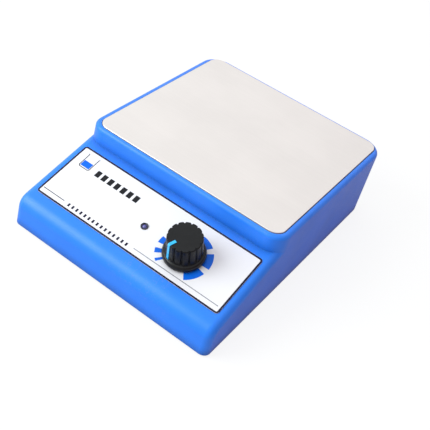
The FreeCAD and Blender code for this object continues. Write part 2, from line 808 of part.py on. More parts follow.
def make_motor():
    inside = "motor_radius - motor_wall"
    can = cut(cylinder("motor_radius", "motor_length - cap_thick", ("0", "motor_y", "motor_under + cap_thick")),
              cylinder(inside, "motor_length - cap_thick - motor_wall",
                       ("0", "motor_y", "motor_under + cap_thick")),
              cylinder("bearing_radius", "motor_length", ("0", "motor_y", "motor_under + cap_thick")),
              *[cylinder("motor_screw_radius + screw_gap", "3 * motor_wall",
                         (f"{side} motor_screw_reach", "motor_y", "motor_top - 2 * motor_wall"))
                for side in "-+"])
    finish(can, "motor_can")
    cap = cut(cylinder("motor_radius", "cap_thick", ("0", "motor_y", "motor_under")),
              cylinder("bearing_radius", "3 * cap_thick", ("0", "motor_y", "motor_under - cap_thick")))
    tabs = [box("terminal_width", "terminal_thick", "motor_tab",
                (f"{side} wire_pitch - terminal_width / 2", "motor_y - motor_radius + motor_wall",
                 "motor_under - motor_tab")) for side in "-+"]
    finish(cap, "motor_end_cap")
    finish(separate(*tabs), "motor_tabs")
    ring = cut(cylinder(f"{inside} - press_gap", "core_length", ("0", "motor_y", "core_under")),
               cylinder("core_radius + air_gap", "3 * core_length", ("0", "motor_y", "core_under - core_length")))
    gap = box("magnet_split", "4 * motor_radius", "3 * core_length",
              ("-magnet_split / 2", "motor_y - 2 * motor_radius", "core_under - core_length"))
    finish(cut(ring, gap), "field_magnets")
    finish(tube("bearing_radius", "axle_radius + axle_gap", "bearing_length",
                ("0", "motor_y", "motor_top - bearing_length")), "upper_bearing")
    finish(tube("bearing_radius", "axle_radius + axle_gap", "cap_thick", ("0", "motor_y", "motor_under")),
           "lower_bearing")
    brushes = [box("brush_size", "brush_size", "commutator_length - air_gap",
                   (x, "motor_y - brush_size / 2", "motor_under + cap_thick"))
               for x in ("commutator_radius + brush_gap", "-commutator_radius - brush_gap - brush_size")]
    finish(separate(*brushes), "motor_brushes")


def make_rotor():
    axle_under = "motor_under - motor_wall / 2"
    finish(cylinder("axle_radius", f"carrier_top - ({axle_under})", ("0", "motor_y", axle_under)), "rotor_shaft")
    finish(tube("core_radius", "axle_radius + press_gap", "core_length", ("0", "motor_y", "core_under")),
           "rotor_core")
    finish(tube("commutator_radius", "axle_radius + press_gap", "commutator_length - air_gap",
                ("0", "motor_y", "core_under - commutator_length")), "commutator")
    spots = [(f"{side} magnet_reach", "motor_y") for side in "-+"]
    pockets = [cylinder("magnet_radius + press_gap", "2 * magnet_deep", (x, y, "carrier_top - magnet_deep"))
               for x, y in spots]
    disc = tube("carrier_radius", "axle_radius + press_gap", "carrier_thick", ("0", "motor_y", "carrier_under"))
    finish(cut(disc, *pockets), "magnet_carrier")
    finish(separate(*[cylinder("magnet_radius", "magnet_deep", (x, y, "carrier_top - magnet_deep"))
                      for x, y in spots]), "drive_magnets")


def make_bracket():
    sketch = outline("bracket_width / 2", "motor_y - bracket_depth / 2", "motor_y + bracket_depth / 2",
                     "bracket_corner", "bracket_corner")
    sheet_metal = prism(sketch, "bracket_thick", ("0", "0", "motor_top"))
    holes = [cylinder("bearing_radius + motor_wall", "3 * bracket_thick",
                      ("0", "motor_y", "motor_top - bracket_thick"))]
    holes += [cylinder("screw_radius + head_gap", "3 * bracket_thick", (x, y, "motor_top - bracket_thick"))
              for x, y in bracket_places()]
    motor_spots = [(f"{side} motor_screw_reach", "motor_y") for side in "-+"]
    holes += [cylinder("motor_screw_radius + head_gap", "3 * bracket_thick", (x, y, "motor_top - bracket_thick"))
              for x, y in motor_spots]
    finish(cut(sheet_metal, *holes), "motor_bracket")
    finish(separate(*[pan_screw("screw_radius", "bracket_thick + screw_length - motor_wall", "screw_head",
                                "screw_head_thick", (x, y, "motor_top")) for x, y in bracket_places()]),
           "bracket_screws")
    finish(separate(*[pan_screw("motor_screw_radius", "bracket_thick + motor_wall", "motor_screw_head",
                                "motor_screw_head_thick", (x, y, "bracket_top"), upward=False)
                      for x, y in motor_spots]), "motor_screws")


# Power inlet ----------------------------------------------------------------------------------------


def make_inlet():
    barrel = fuse(rear_cylinder("jack_radius", "jack_length", "0"),
                  rear_cylinder("jack_flange", "jack_flange_thick", "0"))
    finish(cut(barrel, rear_cylinder("jack_bore", "jack_bore_deep + wall", "wall")), "dc_jack")
    finish(rear_cylinder("jack_pin", "jack_bore_deep - wall", "-wall"), "jack_pin")
    nut = hexagon("jack_nut_flats", "jack_nut_thick")
    place(nut, ("jack_right", "rear_y - jack_draft - wall - jack_gap", "jack_z"), (1, 0, 0), "90")
    finish(cut(nut, rear_cylinder("jack_radius + screw_gap", "jack_length", "0")), "jack_nut")


# Internal wires -------------------------------------------------------------------------------------

bend_share = 0.45


def wire_path(points):
    """Straight runs joined by tangent arcs, each as large as its two runs allow."""
    edges = []
    start = points[0]
    for before, corner, after in zip(points, points[1:], points[2:]):
        run_in = corner - before
        run_out = after - corner
        turn = run_in.getAngle(run_out)
        reach = bend_share * min(run_in.Length, run_out.Length)
        radius = reach / math.tan(turn / 2)
        run_in.normalize()
        run_out.normalize()
        towards_centre = run_out - run_in
        towards_centre.normalize()
        entry = corner - run_in * reach
        leave = corner + run_out * reach
        middle = corner + towards_centre * (radius / math.cos(turn / 2) - radius)
        edges.append(Part.LineSegment(start, entry).toShape())
        edges.append(Part.Arc(entry, middle, leave).toShape())
        start = leave
    edges.append(Part.LineSegment(start, points[-1]).toShape())
    return Part.Wire(edges)


def wire_solid(points):
    path = wire_path([Vector(*[value(text) for text in point]) for point in points])
    first = path.Edges[0]
    ring = Part.Circle(first.valueAt(first.FirstParameter), first.tangentAt(first.FirstParameter),
                       value("wire_radius"))
    solid = path.makePipeShell([Part.Wire(ring.toShape())], True, True)
    expected = math.pi * value("wire_radius") ** 2 * path.Length
    if abs(solid.Volume - expected) > 0.01 * expected:
        raise ValueError("a wire's volume does not match its length")
    return solid


def make_wires(label, count, route):
    """route(step) gives one wire's points; step counts in wire pitches from the middle wire."""
    steps = [number - (count - 1) / 2 for number in range(count)]
    thing = doc.addObject("Part::Feature", label)
    thing.Shape = Part.makeCompound([wire_solid(route(step)) for step in steps])
    finish(thing, label)


def out_of_header(name, across, along, rise="wire_rise"):
    """The first two points of a wire: its pin, and the point straight above it."""
    x, y = header_spots[name]
    pin = (f"{x} + ({across}) * wire_pitch", f"{y} + ({along}) * wire_pitch")
    return [(*pin, "header_top"), (*pin, f"header_top + {rise}")]


def jack_route(step):
    lane = f"jack_right - ({step}) * 2 * wire_pitch"
    return out_of_header("jack", 0, step) + [
        (lane, "motor_y - motor_radius - 2 * wire_rise", "jack_z"),
        (lane, "jack_face_y - jack_length", "jack_z")]


def motor_route(step):
    tab = (f"({step}) * 2 * wire_pitch", "motor_y - motor_radius + motor_wall + terminal_thick / 2")
    return out_of_header("motor", step, 0) + [
        (*tab, "motor_under - motor_tab - wire_rise / 2"),
        (*tab, "motor_under - motor_tab")]


def pot_route(step):
    middle = "terminal_under + terminal_thick / 2"
    return out_of_header("pot", step, 0) + [
        on_panel("terminal_tip - wire_rise", terminal_slope(step), middle),
        on_panel("terminal_tip", terminal_slope(step), middle)]


def led_route(step):
    right = f"({step}) * lead_spacing"
    end = "-led_below - lead_length"
    return out_of_header("led", 0, step, f"wire_rise * (0.75 - ({step}) / 2)") + [
        on_panel(right, "led_slope", f"{end} - wire_pitch * (2 + {step})"),
        on_panel(right, "led_slope", end)]


def make_all_wires():
    make_wires("jack_wires", 2, jack_route)
    make_wires("motor_wires", 2, motor_route)
    make_wires("pot_wires", 3, pot_route)
    make_wires("led_wires", 2, led_route)


for build_step in (make_upper_case, make_bottom_cover, make_feet, make_cover_screws, make_top_plate,
                   make_plate_adhesive, make_control_label, make_indicator, make_knob, make_potentiometer,
                   make_board, make_motor, make_rotor, make_bracket, make_inlet, make_all_wires):
    build_step()
doc.recompute()

for thing in doc.Objects:
    if "Invalid" in thing.State or "Error" in thing.State:
        raise RuntimeError(f"{thing.Name} ({thing.Label}) could not be built")
for thing in sub_parts:
    if thing.Shape.isNull() or not thing.Shape.isValid() or not thing.Shape.Solids:
        raise RuntimeError(f"{thing.Label} has no valid solid")

os.makedirs("parts", exist_ok=True)
for thing in sub_parts:
    thing.Shape.exportStep(f"parts/{thing.Label}.step")
    print(f"{thing.Label}: {len(thing.Shape.Solids)} solid(s), {thing.Shape.Volume:.1f} mm3")
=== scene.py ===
import json
import math
import bpy
import numpy as np
from mathutils import Matrix, Vector


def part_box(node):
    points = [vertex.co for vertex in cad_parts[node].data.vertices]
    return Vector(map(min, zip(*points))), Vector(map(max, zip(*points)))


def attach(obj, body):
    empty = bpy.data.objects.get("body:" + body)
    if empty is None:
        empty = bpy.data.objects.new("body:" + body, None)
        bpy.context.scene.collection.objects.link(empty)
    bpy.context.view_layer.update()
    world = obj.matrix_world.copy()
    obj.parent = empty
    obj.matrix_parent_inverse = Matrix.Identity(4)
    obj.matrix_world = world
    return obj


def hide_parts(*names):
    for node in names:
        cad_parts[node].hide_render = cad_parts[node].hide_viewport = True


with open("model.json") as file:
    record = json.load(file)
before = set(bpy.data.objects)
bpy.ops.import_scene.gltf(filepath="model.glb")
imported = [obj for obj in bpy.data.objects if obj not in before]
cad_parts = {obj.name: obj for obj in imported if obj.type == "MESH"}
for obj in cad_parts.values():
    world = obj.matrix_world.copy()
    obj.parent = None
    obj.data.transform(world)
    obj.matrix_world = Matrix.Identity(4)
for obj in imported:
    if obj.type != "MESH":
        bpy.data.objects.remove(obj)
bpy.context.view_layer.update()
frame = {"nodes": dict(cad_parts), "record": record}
nodes = frame["nodes"]
record = frame["record"]
print("frame loaded:", len(nodes), "nodes")

# A bench magnetic stirrer: the printed label, the knob's finished surface and every material are made here.
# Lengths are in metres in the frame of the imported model, except where a note says millimetres.
mm = 0.001


def addNode(tree, kind, inputs=None, **options):
    # Each named input is linked to a socket or given a value; options are set first.
    node = tree.nodes.new("ShaderNode" + kind)
    for name, choice in options.items():
        setattr(node, name, choice)
    for name, source in (inputs or {}).items():
        if isinstance(source, bpy.types.NodeSocket):
            tree.links.new(source, node.inputs[name])
        else:
            node.inputs[name].default_value = source
    return node


def addMath(tree, operation, *sources):
    return addNode(tree, "Math", dict(enumerate(sources)), operation=operation).outputs[0]


def addVectorMath(tree, operation, *sources):
    node = addNode(tree, "VectorMath", dict(enumerate(sources)), operation=operation)
    return node.outputs["Value" if operation == "DOT_PRODUCT" else "Vector"]


def addRange(tree, source, fromLow, fromHigh, toLow, toHigh):
    node = addNode(tree, "MapRange", {"Value": source, "From Min": fromLow, "From Max": fromHigh,
                                      "To Min": toLow, "To Max": toHigh}, interpolation_type="SMOOTHSTEP")
    return node.outputs["Result"]


def mixColour(tree, mask, first, second):
    # sockets 0, 6 and 7 of a colour Mix are its factor and its two colours
    return addNode(tree, "Mix", {0: mask, 6: first, 7: second}, data_type="RGBA").outputs[2]


def addNoise(tree, place, scale, detail=2.0, roughness=0.5):
    noise = addNode(tree, "TexNoise", {"Vector": place, "Scale": scale, "Detail": detail,
                                       "Roughness": roughness})
    return noise.outputs["Fac"]


def fromMiddle(tree, noise):
    # noise runs from 0 to 1 about a half; this is how far it is above or below that
    return addMath(tree, "SUBTRACT", noise, 0.5)


def objectPlace(tree):
    return addNode(tree, "TexCoord").outputs["Object"]


def makeGroup(name, inputs, outputs, fill):
    # fill(tree, sockets) returns the socket for each named output
    tree = bpy.data.node_groups.new(name, "ShaderNodeTree")
    for label, (kind, start) in inputs.items():
        socket = tree.interface.new_socket(label, in_out="INPUT", socket_type="NodeSocket" + kind)
        socket.default_value = start
    for label, kind in outputs.items():
        tree.interface.new_socket(label, in_out="OUTPUT", socket_type="NodeSocket" + kind)
    start = tree.nodes.new("NodeGroupInput")
    end = tree.nodes.new("NodeGroupOutput")
    for label, socket in fill(tree, start.outputs).items():
        tree.links.new(socket, end.inputs[label])
    return tree


def useGroup(tree, group, inputs):
    return addNode(tree, "Group", inputs, node_tree=group).outputs


def fillSkin(tree, given):
    # Colour drifts slowly between a lighter and a darker tone; roughness follows a finer cloud;
    # the height is a fine moulded grain over a long, shallow waviness.
    darkBelow, lightAbove = 0.3, 0.7
    patchRatio = 5.0  # patches of roughness are this much finer than those of colour
    place = objectPlace(tree)
    cloud = addNoise(tree, place, given["Cloud Scale"], detail=3.0)
    fine = addNoise(tree, place, given["Grain Scale"], detail=2.0, roughness=0.6)
    tone = addRange(tree, cloud, darkBelow, lightAbove, 0.0, 1.0)
    colour = mixColour(tree, tone, given["Dark"], given["Light"])
    patch = addNoise(tree, place, addMath(tree, "MULTIPLY", given["Cloud Scale"], patchRatio), detail=3.0)
    spread = addMath(tree, "MULTIPLY", fromMiddle(tree, patch), given["Roughness Spread"])
    speckle = addMath(tree, "MULTIPLY", fromMiddle(tree, fine), given["Roughness Spread"])
    rough = addMath(tree, "ADD", given["Roughness"], addMath(tree, "ADD", spread, speckle))
    wave = addMath(tree, "MULTIPLY", cloud, given["Wave"])
    height = addMath(tree, "ADD", addMath(tree, "MULTIPLY", fine, given["Grain"]), wave)
    return {"Colour": colour, "Roughness": rough, "Height": height}


def fillWearAndHighlight(tree, given):
    # White where the rounded normal departs from the true one, broken up by noise.
    # The mask serves as edge wear, and on the blue case as a painted edge highlight.
    turnStart, turnFull = 0.01, 0.16
    breakStart, breakFull, leftOver = 0.42, 0.62, 0.15
    rounded = addNode(tree, "Bevel", {"Radius": given["Reach"]}, samples=4).outputs["Normal"]
    true = addNode(tree, "NewGeometry").outputs["True Normal"]
    turn = addMath(tree, "SUBTRACT", 1.0, addVectorMath(tree, "DOT_PRODUCT", rounded, true))
    edge = addRange(tree, turn, turnStart, turnFull, 0.0, 1.0)
    grain = addNoise(tree, objectPlace(tree), given["Break Scale"], detail=4.0, roughness=0.65)
    broken = addRange(tree, grain, breakStart, breakFull, leftOver, 1.0)
    mask = addMath(tree, "MULTIPLY", addMath(tree, "MULTIPLY", edge, broken), given["Amount"])
    return {"Mask": mask}


def fillDust(tree, given):
    # Dust lies on what faces up, thicker in soft patches.
    steep, level = 0.25, 0.95
    thinBelow, thickAbove, thinnest = 0.35, 0.75, 0.2
    up = addNode(tree, "SeparateXYZ", {0: addNode(tree, "NewGeometry").outputs["Normal"]}).outputs["Z"]
    facing = addRange(tree, up, steep, level, 0.0, 1.0)
    cloud = addNoise(tree, objectPlace(tree), given["Patch Scale"], detail=5.0, roughness=0.6)
    patches = addRange(tree, cloud, thinBelow, thickAbove, thinnest, 1.0)
    return {"Mask": addMath(tree, "MULTIPLY", addMath(tree, "MULTIPLY", facing, patches), given["Amount"])}


def fillBrushed(tree, given):
    # Fine lines: noise squeezed hard along one axis, with a coarser set over it.
    coarseScale, fineShare, coarseShare = 0.23, 0.65, 0.35
    stretched = addVectorMath(tree, "MULTIPLY", objectPlace(tree), given["Stretch"])
    fine = addNoise(tree, stretched, 1.0, detail=3.0, roughness=0.7)
    coarse = addNoise(tree, stretched, coarseScale, detail=2.0)
    lines = addMath(tree, "ADD", addMath(tree, "MULTIPLY", fine, fineShare),
                    addMath(tree, "MULTIPLY", coarse, coarseShare))
    return {"Lines": fromMiddle(tree, lines), "Height": addMath(tree, "MULTIPLY", lines, given["Depth"])}


def fillCrease(tree, given):
    # Painted shade for inner corners: white where the surface is closed in within the reach.
    shutIn, openAbove = 0.45, 0.95
    clear = addNode(tree, "AmbientOcclusion", {"Distance": given["Reach"]}, samples=6).outputs["AO"]
    closed = addRange(tree, clear, shutIn, openAbove, 1.0, 0.0)
    return {"Mask": addMath(tree, "MULTIPLY", closed, given["Amount"])}


def fillScuffs(tree, given):
    # Handling marks: noise squeezed along a slanting direction, kept only near its middle value, in patches.
    slant = (0.5, 0.7, 0.4)
    lineWide = 0.020
    patchStart, patchFull = 0.50, 0.68
    place = objectPlace(tree)
    slanted = addNode(tree, "Mapping", {"Vector": place, "Rotation": slant,
                                        "Scale": given["Stretch"]}).outputs["Vector"]
    off = addMath(tree, "ABSOLUTE", fromMiddle(tree, addNoise(tree, slanted, 1.0, detail=2.0)))
    line = addRange(tree, off, 0.0, lineWide, 1.0, 0.0)
    cloud = addNoise(tree, place, given["Patch Scale"], detail=2.0)
    patch = addRange(tree, cloud, patchStart, patchFull, 0.0, 1.0)
    return {"Mask": addMath(tree, "MULTIPLY", addMath(tree, "MULTIPLY", line, patch), given["Amount"])}


skin = makeGroup("mouldedSkin", {
    "Light": ("Color", (1, 1, 1, 1)), "Dark": ("Color", (0.8, 0.8, 0.8, 1)),
    "Cloud Scale": ("Float", 20.0), "Grain Scale": ("Float", 3000.0), "Roughness": ("Float", 0.5),
    "Roughness Spread": ("Float", 0.1), "Grain": ("Float", 1.0), "Wave": ("Float", 1.0),
}, {"Colour": "Color", "Roughness": "Float", "Height": "Float"}, fillSkin)
# lighter edges: wear on most pieces, a painted edge highlight on the case
edgeWearAndHighlight = makeGroup("edgeWearAndHighlight", {
    "Reach": ("Float", 0.0006), "Break Scale": ("Float", 400.0), "Amount": ("Float", 0.3),
}, {"Mask": "Float"}, fillWearAndHighlight)
dustVeil = makeGroup("dustVeil", {
    "Patch Scale": ("Float", 40.0), "Amount": ("Float", 0.1),
}, {"Mask": "Float"}, fillDust)
brushedGrain = makeGroup("brushedGrain", {
    "Stretch": ("Vector", (6000.0, 60.0, 6000.0)), "Depth": ("Float", 1.0),
}, {"Lines": "Float", "Height": "Float"}, fillBrushed)
# painted shade: inner corners darkened
creaseShade = makeGroup("creaseShade", {
    "Reach": ("Float", 0.005), "Amount": ("Float", 0.3),
}, {"Mask": "Float"}, fillCrease)
handlingScuffs = makeGroup("handlingScuffs", {
    "Stretch": ("Vector", (1600.0, 45.0, 1600.0)), "Patch Scale": ("Float", 32.0), "Amount": ("Float", 0.1),
}, {"Mask": "Float"}, fillScuffs)
print("shader groups made")


def newMaterial(name):
    material = bpy.data.materials.new(name)
    material.use_nodes = True
    tree = material.node_tree
    return material, tree, tree.nodes["Principled BSDF"]


def opaque(colour):
    return (*colour, 1.0)


def toned(colour, factor, lift=0.0):
    return opaque(min(1.0, channel * factor + lift) for channel in colour)


def useSkin(tree, light, dark, look):
    return useGroup(tree, skin, {
        "Light": light, "Dark": dark, "Cloud Scale": look["cloudScale"], "Grain Scale": look["grainScale"],
        "Roughness": look["roughness"], "Roughness Spread": look["roughnessSpread"],
        "Grain": look["grain"], "Wave": look["wave"]})


def finishSurface(tree, shader, tone, rough, height, look):
    # what every surface has linked: its colour, its roughness and a bump from its height
    bump = addNode(tree, "Bump", {"Height": height, "Strength": look["bump"], "Distance": look["bumpDepth"]})
    tree.links.new(tone, shader.inputs["Base Color"])
    tree.links.new(rough, shader.inputs["Roughness"])
    tree.links.new(bump.outputs["Normal"], shader.inputs["Normal"])


plasticNorm = {
    "spread": 0.10,
    "cloudScale": 22.0,
    "roughness": 0.45,
    "roughnessSpread": 0.10,
    "grainScale": 2600.0,
    "grain": 0.5,
    "wave": 1.0,
    "bump": 0.12,
    "bumpDepth": 0.0002,
    # lighter edges: wear, and on the case a painted edge highlight as well
    "wear": 0.25,
    "wearReach": 0.0006,
    "wearTone": 1.6,
    "wearLift": 0.02,
    "wornAndHighlightTone": None,  # a colour here is used instead of the two above
    "dust": 0.03,
    "dustColour": (0.75, 0.74, 0.72),
    "dustRoughness": 0.4,  # added under full dust or scuffs
    # painted shade: inner corners are darkened towards the crease tone
    "crease": 0.25,
    "creaseReach": 0.004,
    "creaseTone": 0.25,
    "scuffs": 0.03,
    "scuffStretch": (1600.0, 45.0, 1600.0),
    "scuffTone": None,  # the worn colour
    "coat": 0.0,
    "coatRoughness": 0.2,
    "specular": 0.5,
    "sheen": 0.0,
    "sheenTint": (1.0, 1.0, 1.0),
}


def makePlastic(name, colour, **changes):
    look = {**plasticNorm, **changes}
    material, tree, shader = newMaterial(name)
    base = useSkin(tree, toned(colour, 1 + look["spread"]), toned(colour, 1 - look["spread"]), look)
    # the edge mask gives wear, and on the case a painted edge highlight
    wear = useGroup(tree, edgeWearAndHighlight, {"Reach": look["wearReach"], "Amount": look["wear"]})["Mask"]
    dust = useGroup(tree, dustVeil, {"Amount": look["dust"]})["Mask"]
    crease = useGroup(tree, creaseShade, {"Reach": look["creaseReach"], "Amount": look["crease"]})["Mask"]
    scuffs = useGroup(tree, handlingScuffs, {"Amount": look["scuffs"],
                                             "Stretch": look["scuffStretch"]})["Mask"]
    wornAndHighlightTone = opaque(look["wornAndHighlightTone"]) if look["wornAndHighlightTone"] else toned(colour, look["wearTone"], look["wearLift"])
    tone = mixColour(tree, wear, base["Colour"], wornAndHighlightTone)
    tone = mixColour(tree, scuffs, tone, opaque(look["scuffTone"]) if look["scuffTone"] else wornAndHighlightTone)
    # painted shade in inner corners
    tone = mixColour(tree, crease, tone, toned(colour, look["creaseTone"]))
    tone = mixColour(tree, dust, tone, opaque(look["dustColour"]))
    matt = addMath(tree, "MULTIPLY", addMath(tree, "ADD", dust, scuffs), look["dustRoughness"])
    rough = addMath(tree, "ADD", base["Roughness"], matt)
    finishSurface(tree, shader, tone, rough, base["Height"], look)
    shader.inputs["Coat Weight"].default_value = look["coat"]
    shader.inputs["Coat Roughness"].default_value = look["coatRoughness"]
    shader.inputs["Specular IOR Level"].default_value = look["specular"]
    shader.inputs["Sheen Weight"].default_value = look["sheen"]
    shader.inputs["Sheen Tint"].default_value = opaque(look["sheenTint"])
    return material


metalNorm = {
    "spread": 0.05,
    "cloudScale": 30.0,
    "roughness": 0.32,
    "roughnessSpread": 0.10,
    "grainScale": 1500.0,
    "grain": 0.15,
    "wave": 0.5,
    "stretch": (200.0, 200.0, 5000.0),
    "lines": 0.12,
    "lineReach": 0.25,
    "lineTone": 0.6,
    "depth": 0.5,
    "bump": 0.10,
    "bumpDepth": 0.0001,
    "wear": 0.3,
    "wearReach": 0.0004,
    "wearTone": 1.25,
    "metallic": 1.0,
}


def makeMetal(name, colour, **changes):
    look = {**metalNorm, **changes}
    material, tree, shader = newMaterial(name)
    base = useSkin(tree, toned(colour, 1 + look["spread"]), toned(colour, 1 - look["spread"]), look)
    brushed = useGroup(tree, brushedGrain, {"Stretch": look["stretch"], "Depth": look["depth"]})
    wear = useGroup(tree, edgeWearAndHighlight, {"Reach": look["wearReach"], "Amount": look["wear"]})["Mask"]
    shade = addRange(tree, brushed["Lines"], -look["lineReach"], look["lineReach"], 0.0, look["lines"])
    tone = mixColour(tree, shade, base["Colour"], toned(colour, look["lineTone"]))
    tone = mixColour(tree, wear, tone, toned(colour, look["wearTone"]))
    rough = addMath(tree, "ADD", base["Roughness"], addMath(tree, "MULTIPLY", brushed["Lines"], look["lines"]))
    height = addMath(tree, "ADD", base["Height"], brushed["Height"])
    finishSurface(tree, shader, tone, rough, height, look)
    shader.inputs["Metallic"].default_value = look["metallic"]
    return material


cameraSetup = {
    "place": (0.1602, -0.3536, 0.3153),
    "azimuth": 27.46,  # degrees to the right of the front
    "elevation": 36.33,
    "roll": 14.785,
    "lens": 70.6,
    "sensor": 36,
    "shiftX": 0.0865,
    "shiftY": -0.1213,
    "nearest": 0.01,
    "farthest": 50,
}


def makeCamera(setup):
    azimuth, elevation, roll = (math.radians(setup[key]) for key in ("azimuth", "elevation", "roll"))
    back = Vector((math.sin(azimuth) * math.cos(elevation),
                   -math.cos(azimuth) * math.cos(elevation),
                   math.sin(elevation)))
    level = (-back).cross(Vector((0, 0, 1))).normalized()
    upright = level.cross(-back)
    right = level * math.cos(roll) + upright * math.sin(roll)
    up = upright * math.cos(roll) - level * math.sin(roll)
    data = bpy.data.cameras.new("camera")
    data.lens = setup["lens"]
    data.sensor_width = setup["sensor"]
    data.shift_x = setup["shiftX"]
    data.shift_y = setup["shiftY"]
    data.clip_start = setup["nearest"]
    data.clip_end = setup["farthest"]
    camera = bpy.data.objects.new("camera", data)
    camera.matrix_world = Matrix.Translation(setup["place"]) @ Matrix((right, up, back)).transposed().to_4x4()
    bpy.context.scene.collection.objects.link(camera)
    bpy.context.scene.camera = camera


lightSetup = {
    "skyBright": (0.945, 0.99, 0.985),
    "skyDim": (0.275, 0.128, 0.172),  # warm and dim, on the shaded right side
    "skyRange": (-0.8, 0.75),  # from all dim to all bright, as a cosine of the angle to skyFrom
    "skyStrength": 1.02,
    "skyFrom": (-0.72, -0.10, 0.68),  # where the soft light is strongest
    "keyPlace": (-0.45, -0.46, 0.40),
    "keySize": 0.55,
    "keyColour": (0.91, 1.0, 0.98),
    "keyPower": 3.9,
    "floorColour": (0.58, 0.575, 0.58),
    "floorRoughness": 0.9,
    "floorSpecular": 0.2,
    "floorShown": 1.22,  # glow that only the camera sees, so that shadows and blue spill stay faint
    "floorShownShare": 0.68,
    "floorSize": 8.0,
    "floorBelow": -0.00005,  # clear of the feet's undersides
    "floorDriftScale": 3.0,
    "floorDrift": 0.01,
}


def makeStudio(setup):
    world = bpy.data.worlds.new("studio")
    bpy.context.scene.world = world
    world.use_nodes = True
    tree = world.node_tree
    toward = addNode(tree, "TexCoord").outputs["Generated"]
    share = addVectorMath(tree, "DOT_PRODUCT", toward, setup["skyFrom"])
    colour = mixColour(tree, addRange(tree, share, *setup["skyRange"], 0.0, 1.0),
                       opaque(setup["skyDim"]), opaque(setup["skyBright"]))
    background = tree.nodes["Background"]
    tree.links.new(colour, background.inputs["Color"])
    background.inputs["Strength"].default_value = setup["skyStrength"]

    data = bpy.data.lights.new("key", "AREA")
    data.shape = "DISK"
    data.size = setup["keySize"]
    data.color = setup["keyColour"]
    data.energy = setup["keyPower"]
    key = bpy.data.objects.new("key", data)
    key.location = setup["keyPlace"]
    key.rotation_euler = (-Vector(setup["keyPlace"])).to_track_quat("-Z", "Y").to_euler()
    bpy.context.scene.collection.objects.link(key)

    half = setup["floorSize"] / 2
    low = setup["floorBelow"]
    mesh = bpy.data.meshes.new("floor")
    mesh.from_pydata([(-half, -half, low), (half, -half, low), (half, half, low), (-half, half, low)], [],
                     [(0, 1, 2, 3)])
    floor = bpy.data.objects.new("floor", mesh)
    bpy.context.scene.collection.objects.link(floor)
    material = makePlastic("paleFloor", setup["floorColour"], roughness=setup["floorRoughness"],
                           spread=setup["floorDrift"], cloudScale=setup["floorDriftScale"],
                           specular=setup["floorSpecular"], wear=0.0, dust=0.0, crease=0.0, scuffs=0.0,
                           bump=0.0)
    tree = material.node_tree
    glow = addNode(tree, "Emission", {"Color": opaque((1, 1, 1)), "Strength": setup["floorShown"]})
    direct = addNode(tree, "LightPath").outputs["Is Camera Ray"]
    seen = addMath(tree, "MULTIPLY", direct, setup["floorShownShare"])
    plain = tree.nodes["Principled BSDF"]
    lit = addNode(tree, "MixShader", {0: seen, 1: plain.outputs[0], 2: glow.outputs[0]})
    tree.links.new(lit.outputs[0], tree.nodes["Material Output"].inputs["Surface"])
    mesh.materials.append(material)
    bpy.context.scene.view_settings.view_transform = "Standard"


makeCamera(cameraSetup)
makeStudio(lightSetup)
print("camera and studio made")

caseLook = {
    "colour": (0.006, 0.212, 0.92),
    "roughness": 0.40,
    "roughnessSpread": 0.10,
    "spread": 0.05,
    "cloudScale": 30.0,
    "grainScale": 2400.0,
    "grain": 0.55,
    "wave": 1.6,
    "bump": 0.34,
    # painted highlight: the edges are lightened to a pale cyan, together with some wear
    "wear": 0.62,
    "wornAndHighlightTone": (0.035, 0.36, 1.0),
    "wearReach": 0.0013,
    "dust": 0.012,
    # painted shade in the inner corners, such as at the foot of the walls
    "crease": 0.85,
    "creaseReach": 0.008,
    "scuffs": 0.32,
    "scuffStretch": (380.0, 16.0, 380.0),
    "scuffTone": (0.14, 0.25, 0.95),
    "sheen": 0.13,
    "sheenTint": (1.0, 0.16, 0.24),
}

# the cover keeps the case's painted edge highlight and painted shade in inner corners
coverLook = {**caseLook, "colour": (0.020, 0.165, 0.86), "roughness": 0.46, "spread": 0.08}

plateLook = {
    "colour": (0.905, 0.838, 0.818),
    "spread": 0.022,
    "cloudScale": 26.0,
    "roughness": 0.36,
    "roughnessSpread": 0.07,
    "stretch": (45.0, 5200.0, 5200.0),  # brushed along the width
    "lines": 0.10,
    "depth": 0.45,
    "bump": 0.07,
    "wear": 0.12,
    "wearTone": 1.05,
    "wearReach": 0.0005,
    "metallic": 0.72,  # a satin finish that stays pale from every side
}

labelLook = {
    "colour": (0.845, 0.825, 0.875),
    "spread": 0.012,
    "cloudScale": 40.0,
    "roughness": 0.30,
    "roughnessSpread": 0.08,
    "grainScale": 3800.0,
    "grain": 0.3,
    "wave": 0.8,
    "bump": 0.07,
    "wear": 0.10,
    "wearTone": 0.85,
    "dust": 0.01,
    "coat": 0.15,
}

wireLook = {"roughness": 0.36, "spread": 0.12, "cloudScale": 200.0}
wireColours = {
    "motor_wires": (0.025, 0.025, 0.027),
    "pot_wires": (0.62, 0.36, 0.02),
    "led_wires": (0.03, 0.10, 0.42),
}

